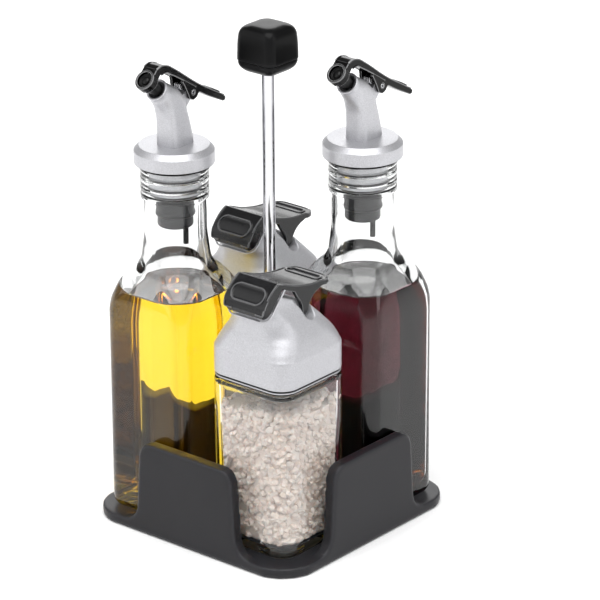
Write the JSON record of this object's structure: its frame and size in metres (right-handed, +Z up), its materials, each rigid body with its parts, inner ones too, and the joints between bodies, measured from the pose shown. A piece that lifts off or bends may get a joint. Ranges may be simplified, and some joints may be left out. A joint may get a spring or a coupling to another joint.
{
  "type": "cruet set",
  "caption": "Square carrying tray with a lift rod and knob that holds stoppered pouring bottles and lever-lid seasoning jars, each of which lifts out and opens.",
  "frame": {"origin": "centre of the tray's footprint on the surface that the feet stand on", "axes": "+Z up along the lift rod; every spout and lid opens towards -Y and every thumb lever points towards +Y; +X to the right seen from the pouring side"},
  "size_m": [0.15, 0.1501, 0.2896],
  "materials": {
    "tray_plastic": "satin moulded charcoal plastic with a fine spark-eroded texture",
    "foot_rubber": "matte black rubber",
    "steel_hardware": "zinc-bright steel hardware",
    "rod_chrome": "mirror chrome plating",
    "knob_plastic": "near-black satin plastic",
    "brass_insert": "turned brass",
    "clear_glass": "clear polished soda-lime glass",
    "olive_oil": "clear golden-yellow oil",
    "dark_vinegar": "clear dark burgundy vinegar",
    "salt_crystals": "coarse pale pink salt crystals",
    "pepper_corns": "dark whole peppercorns",
    "spout_satin": "satin silver paint with a fine metallic grain",
    "seal_rubber": "matte black seal rubber",
    "stopper_rubber": "soft grey rubber",
    "lever_plastic": "glossy black plastic",
    "cap_satin": "satin silver paint with a fine metallic grain",
    "lid_plastic": "satin charcoal plastic"
  },
  "bodies": {
    "tray_frame": {"tray": "tray_plastic", "foot_front_left": "foot_rubber", "foot_front_right": "foot_rubber", "foot_back_right": "foot_rubber", "foot_back_left": "foot_rubber", "rod_washer": "steel_hardware", "rod_nut": "steel_hardware", "base_plug": "foot_rubber", "lift_rod": "rod_chrome", "knob_shell": "knob_plastic", "knob_insert": "brass_insert", "knob_cover": "knob_plastic"},
    "oil_vessel": {"oil_bottle": "clear_glass", "oil_fill": "olive_oil"},
    "oil_spout": {"oil_pourer": "spout_satin", "oil_gasket": "seal_rubber", "oil_stopper": "stopper_rubber", "oil_air_tube": "seal_rubber", "oil_hinge_pin": "steel_hardware"},
    "oil_lever": {"oil_pour_lever": "lever_plastic", "oil_pour_plug": "seal_rubber", "oil_hinge_spring": "steel_hardware"},
    "vinegar_vessel": {"vinegar_bottle": "clear_glass", "vinegar_fill": "dark_vinegar"},
    "vinegar_spout": {"vinegar_pourer": "spout_satin", "vinegar_gasket": "seal_rubber", "vinegar_stopper": "stopper_rubber", "vinegar_air_tube": "seal_rubber", "vinegar_hinge_pin": "steel_hardware"},
    "vinegar_lever": {"vinegar_pour_lever": "lever_plastic", "vinegar_pour_plug": "seal_rubber", "vinegar_hinge_spring": "steel_hardware"},
    "salt_vessel": {"salt_jar": "clear_glass", "salt_fill": "salt_crystals", "salt_seal": "seal_rubber"},
    "salt_lid": {"salt_cap": "cap_satin", "salt_lid_pin": "steel_hardware"},
    "salt_flap": {"salt_lid_lever": "lid_plastic"},
    "pepper_vessel": {"pepper_jar": "clear_glass", "pepper_fill": "pepper_corns", "pepper_seal": "seal_rubber"},
    "pepper_lid": {"pepper_cap": "cap_satin", "pepper_lid_pin": "steel_hardware"},
    "pepper_flap": {"pepper_lid_lever": "lid_plastic"}
  },
  "joints": [
    {"name": "oil_bottle_lift", "type": "slide", "parent": "tray_frame", "child": "oil_vessel", "axis": [0, 0, 1], "range_m": [0, 0.06]},
    {"name": "oil_stopper_pull", "type": "slide", "parent": "oil_vessel", "child": "oil_spout", "axis": [0, 0, 1], "range_m": [0, 0.05]},
    {"name": "oil_lever_hinge", "type": "hinge", "parent": "oil_spout", "child": "oil_lever", "pos_m": [-0.0369, -0.0253, 0.2498], "axis": [-1, 0, 0], "range_deg": [0, 32], "stiffness_Nm_per_rad": 0.03, "springref_deg": -22.92},
    {"name": "vinegar_bottle_lift", "type": "slide", "parent": "tray_frame", "child": "vinegar_vessel", "axis": [0, 0, 1], "range_m": [0, 0.06]},
    {"name": "vinegar_stopper_pull", "type": "slide", "parent": "vinegar_vessel", "child": "vinegar_spout", "axis": [0, 0, 1], "range_m": [0, 0.05]},
    {"name": "vinegar_lever_hinge", "type": "hinge", "parent": "vinegar_spout", "child": "vinegar_lever", "pos_m": [0.0369, 0.0485, 0.2498], "axis": [-1, 0, 0], "range_deg": [0, 32], "stiffness_Nm_per_rad": 0.03, "springref_deg": -22.92},
    {"name": "salt_jar_lift", "type": "slide", "parent": "tray_frame", "child": "salt_vessel", "axis": [0, 0, 1], "range_m": [0, 0.06]},
    {"name": "salt_cap_pull", "type": "slide", "parent": "salt_vessel", "child": "salt_lid", "axis": [0, 0, 1], "range_m": [0, 0.03]},
    {"name": "salt_lid_hinge", "type": "hinge", "parent": "salt_lid", "child": "salt_flap", "pos_m": [0.0365, -0.0302, 0.1438], "axis": [-1, 0, 0], "range_deg": [0, 25]},
    {"name": "pepper_jar_lift", "type": "slide", "parent": "tray_frame", "child": "pepper_vessel", "axis": [0, 0, 1], "range_m": [0, 0.06]},
    {"name": "pepper_cap_pull", "type": "slide", "parent": "pepper_vessel", "child": "pepper_lid", "axis": [0, 0, 1], "range_m": [0, 0.03]},
    {"name": "pepper_lid_hinge", "type": "hinge", "parent": "pepper_lid", "child": "pepper_flap", "pos_m": [-0.0365, 0.0428, 0.1438], "axis": [-1, 0, 0], "range_deg": [0, 25]}
  ]
}
